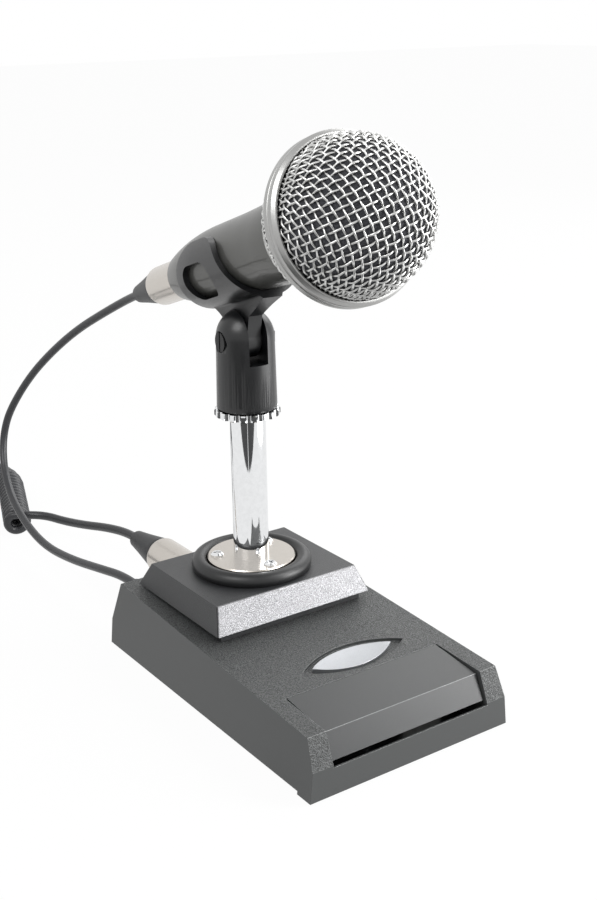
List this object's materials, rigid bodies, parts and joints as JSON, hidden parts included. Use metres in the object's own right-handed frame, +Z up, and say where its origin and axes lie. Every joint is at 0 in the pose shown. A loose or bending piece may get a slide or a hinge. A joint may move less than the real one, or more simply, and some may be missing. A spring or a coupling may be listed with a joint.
{
  "type": "desk microphone",
  "caption": "Press-to-talk desk microphone: weighted base with a wide talk bar and a lock slider, chrome post, tilting clip with a ball-headed microphone, and its leads.",
  "frame": {"origin": "on the desk, under the middle of the base housing", "axes": "+Z up; -Y is the front, where the talk bar and the head of the microphone are; +X to the right of someone who looks along +Y"},
  "size_m": [0.1699, 0.4414, 0.243],
  "materials": {
    "housing_abs": "fine speckled texture",
    "bar_abs": "satin, moulded",
    "plinth_abs": "satin",
    "speckled_plate": "silver speckle",
    "soft_rubber": "matt",
    "satin_nickel": "satin, warm",
    "chrome_plate": "polished",
    "gloss_nylon": "semi-gloss",
    "handle_lacquer": "satin metallic lacquer",
    "silver_satin": "satin",
    "grille_wire": "woven wire",
    "slider_silver": "silver, satin",
    "cord_pvc": "satin sheath",
    "boot_rubber": "satin",
    "brass_part": "turned",
    "zinc_steel": "zinc plated",
    "black_steel": "black oxide",
    "cast_ballast": "as cast",
    "black_foam": "open-cell foam",
    "board_laminate": "glass-fibre laminate",
    "switch_plastic": "moulded",
    "insert_plastic": "moulded"
  },
  "bodies": {
    "base": {"housing": "housing_abs", "base_plate": "zinc_steel", "rubber_pad": "soft_rubber", "base_screws": "zinc_steel", "ballast_weight": "cast_ballast", "plinth": "plinth_abs", "plinth_front_plate": "speckled_plate", "post_flange": "satin_nickel", "flange_screws": "chrome_plate", "cushion_ring": "soft_rubber", "post": "chrome_plate", "output_socket": "satin_nickel", "output_socket_insert": "insert_plastic", "output_socket_pins": "brass_part", "output_plug_shell": "satin_nickel", "output_plug_insert": "insert_plastic", "output_plug_boot": "boot_rubber", "lead_strain_relief": "boot_rubber", "hinge_pin": "zinc_steel", "circuit_board": "board_laminate", "board_spacers": "switch_plastic", "press_switch": "switch_plastic", "bar_spring": "zinc_steel", "mic_lead_lower": "cord_pvc", "output_lead": "cord_pvc", "curly_lead": "cord_pvc", "lead_tail": "cord_pvc", "jack_boot": "boot_rubber", "jack_shell": "satin_nickel", "jack_contacts": "satin_nickel"},
    "talk_bar": {"talk_bar": "bar_abs"},
    "switch_plunger": {"switch_plunger": "switch_plastic"},
    "lock_slider": {"lock_slider": "slider_silver", "slider_retainer": "insert_plastic", "slider_screw": "zinc_steel"},
    "lock_ring": {"lock_ring": "chrome_plate"},
    "fork": {"fork": "gloss_nylon", "thread_insert": "brass_part", "pivot_bolt": "black_steel", "pivot_nut": "black_steel", "friction_washers": "insert_plastic"},
    "microphone": {"clip": "gloss_nylon", "mic_handle": "handle_lacquer", "grille_front": "grille_wire", "foam_liner": "black_foam", "grille_band": "silver_satin", "grille_rear": "grille_wire", "grille_collar": "silver_satin", "capsule": "silver_satin", "capsule_mount": "soft_rubber", "handle_insert": "insert_plastic", "handle_pins": "brass_part", "mic_plug_shell": "satin_nickel", "mic_plug_insert": "insert_plastic", "mic_plug_boot": "boot_rubber", "mic_lead_upper": "cord_pvc"},
    "mic_plug_latch": {"mic_plug_latch": "satin_nickel"},
    "output_plug_latch": {"output_plug_latch": "satin_nickel"}
  },
  "joints": [
    {"name": "talk_bar_press", "type": "hinge", "parent": "base", "child": "talk_bar", "pos_m": [0, -0.0512, 0.02429], "axis": [1, 0, 0], "range_deg": [0, 3.2], "stiffness_Nm_per_rad": 0.4, "springref_deg": -5.16, "deforming": ["bar_spring"]},
    {"name": "switch_plunger_travel", "type": "slide", "parent": "base", "child": "switch_plunger", "axis": [0, 0, -1], "range_m": [0, 0.001]},
    {"name": "lock_slide", "type": "slide", "parent": "base", "child": "lock_slider", "axis": [1, 0, 0], "range_m": [0, 0.0055]},
    {"name": "lock_ring_turn", "type": "hinge", "parent": "base", "child": "lock_ring", "pos_m": [0, 0.0342, 0.1179], "axis": [0, 0, 1], "range_deg": [-30, 30]},
    {"name": "clip_swivel", "type": "hinge", "parent": "base", "child": "fork", "pos_m": [0, 0.0342, 0.15], "axis": [0, 0, 1], "range_deg": [-45, 45], "deforming": ["mic_lead_upper", "mic_lead_lower"]},
    {"name": "clip_tilt", "type": "hinge", "parent": "fork", "child": "microphone", "pos_m": [0, 0.0342, 0.15], "axis": [-0.9962, 0.0872, 0], "range_deg": [-60, 40], "deforming": ["mic_lead_upper", "mic_lead_lower"]},
    {"name": "mic_plug_release", "type": "slide", "parent": "microphone", "child": "mic_plug_latch", "axis": [-0.9962, 0.0872, 0], "range_m": [0, 0.0006], "stiffness_N_per_m": 1500, "springref_m": -0.001},
    {"name": "output_plug_release", "type": "slide", "parent": "base", "child": "output_plug_latch", "axis": [-1, 0, 0], "range_m": [0, 0.0006], "stiffness_N_per_m": 1500, "springref_m": -0.001}
  ],
  "couplings": [
    {"joint": "switch_plunger_travel", "follows": "talk_bar_press", "m_per_rad": 0.016}
  ]
}
